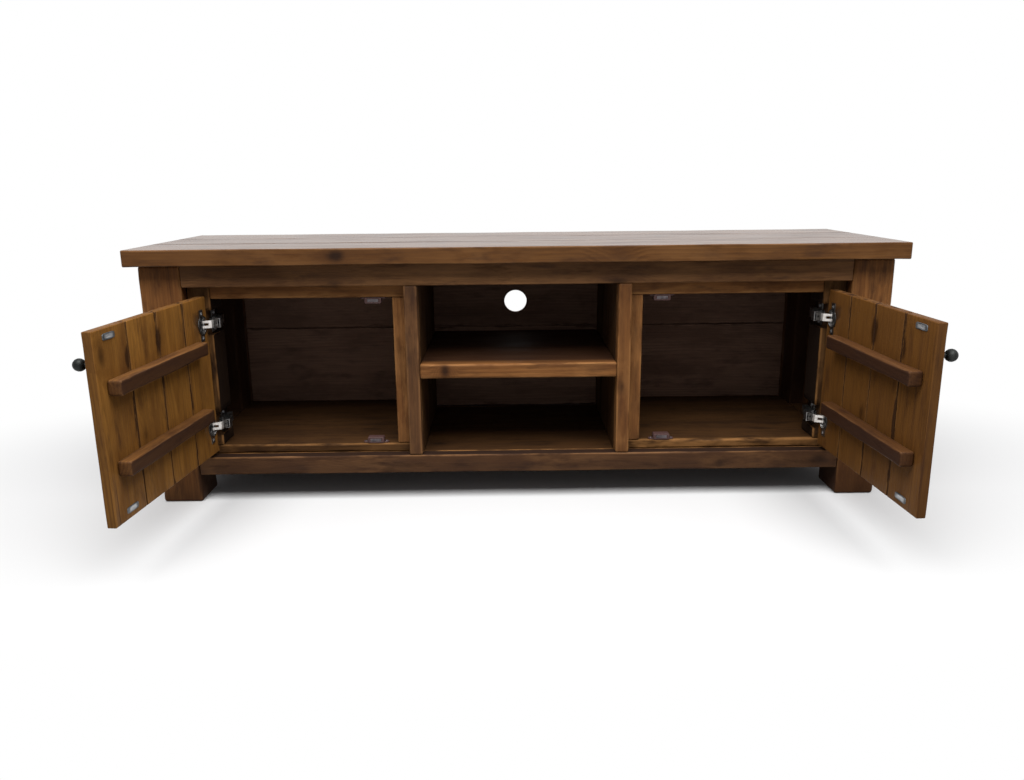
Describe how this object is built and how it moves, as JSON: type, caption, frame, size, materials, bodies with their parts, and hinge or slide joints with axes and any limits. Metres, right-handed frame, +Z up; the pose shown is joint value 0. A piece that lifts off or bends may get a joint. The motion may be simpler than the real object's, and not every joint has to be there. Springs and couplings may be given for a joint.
{
  "type": "tv unit",
  "caption": "Low plank media cabinet: open centre bay with a shelf between two cupboards whose ledged doors hang on concealed cup hinges and shut on magnetic catches.",
  "frame": {"origin": "on the floor under the middle of the carcass, halfway between the posts' front and back faces", "axes": "+X to the viewer's right facing the doors, +Y to the back, +Z up"},
  "size_m": [1.5, 0.7903, 0.518],
  "materials": {
    "pine_top": "waxed pine planks",
    "pine_frame": "waxed pine",
    "pine_inner": "waxed pine",
    "pine_door": "waxed knotty pine",
    "pine_ledge": "waxed pine",
    "nickel_steel": "nickel plate",
    "magnet_steel": "bare steel",
    "black_iron": "black iron",
    "brown_plastic": "moulded"
  },
  "bodies": {
    "cabinet": {"back_board_cable": "pine_inner", "back_board_lower": "pine_inner", "catch_bodies": "brown_plastic", "catch_magnets": "magnet_steel", "centre_shelf": "pine_frame", "floor_bearers": "pine_inner", "floor_centre": "pine_inner", "floor_left": "pine_inner", "floor_right": "pine_inner", "hinge_arm_pins": "nickel_steel", "hinge_arms": "nickel_steel", "hinge_batten_left": "pine_frame", "hinge_batten_right": "pine_frame", "hinge_plates": "nickel_steel", "partition_left": "pine_inner", "partition_right": "pine_inner", "plate_screws": "nickel_steel", "post_front_left": "pine_frame", "post_front_right": "pine_frame", "post_rear_left": "pine_frame", "post_rear_right": "pine_frame", "rail_bottom_front": "pine_frame", "rail_bottom_rear": "pine_frame", "rail_top_front": "pine_frame", "rail_top_rear": "pine_frame", "side_boards_left": "pine_frame", "side_boards_right": "pine_frame", "side_rails_left": "pine_frame", "side_rails_right": "pine_frame", "stile_left": "pine_frame", "stile_right": "pine_frame", "stop_side_left": "pine_inner", "stop_side_right": "pine_inner", "stop_top_left": "pine_inner", "stop_top_right": "pine_inner", "top_board_front": "pine_top", "top_board_middle": "pine_top", "top_board_rear": "pine_top"},
    "left_links": {"left_hinge_links": "nickel_steel"},
    "left_door": {"left_cup_pins": "nickel_steel", "left_door_boards": "pine_door", "left_door_screws": "nickel_steel", "left_hinge_cups": "nickel_steel", "left_knob": "black_iron", "left_ledge_lower": "pine_ledge", "left_ledge_upper": "pine_ledge", "left_strike_plates": "nickel_steel"},
    "right_links": {"right_hinge_links": "nickel_steel"},
    "right_door": {"right_cup_pins": "nickel_steel", "right_door_boards": "pine_door", "right_door_screws": "nickel_steel", "right_hinge_cups": "nickel_steel", "right_knob": "black_iron", "right_ledge_lower": "pine_ledge", "right_ledge_upper": "pine_ledge", "right_strike_plates": "nickel_steel"}
  },
  "joints": [
    {"name": "left_door_swing", "type": "hinge", "parent": "left_links", "child": "left_door", "pos_m": [-0.62037, -0.19343, 0.2645], "axis": [0, 0, 1], "range_deg": [-1.2, 126.41]},
    {"name": "left_link_swing", "type": "hinge", "parent": "cabinet", "child": "left_links", "pos_m": [-0.6005, -0.1694, 0.2645], "axis": [0, 0, 1], "range_deg": [-31.51, 0.3]},
    {"name": "right_door_swing", "type": "hinge", "parent": "right_links", "child": "right_door", "pos_m": [0.62076, -0.1931, 0.2645], "axis": [0, 0, -1], "range_deg": [-4.93, 122.68]},
    {"name": "right_link_swing", "type": "hinge", "parent": "cabinet", "child": "right_links", "pos_m": [0.6005, -0.1694, 0.2645], "axis": [0, 0, -1], "range_deg": [-30.58, 1.23]}
  ],
  "couplings": [
    {"joint": "left_link_swing", "follows": "left_door_swing", "ratio": -0.24925},
    {"joint": "right_link_swing", "follows": "right_door_swing", "ratio": -0.24925}
  ]
}
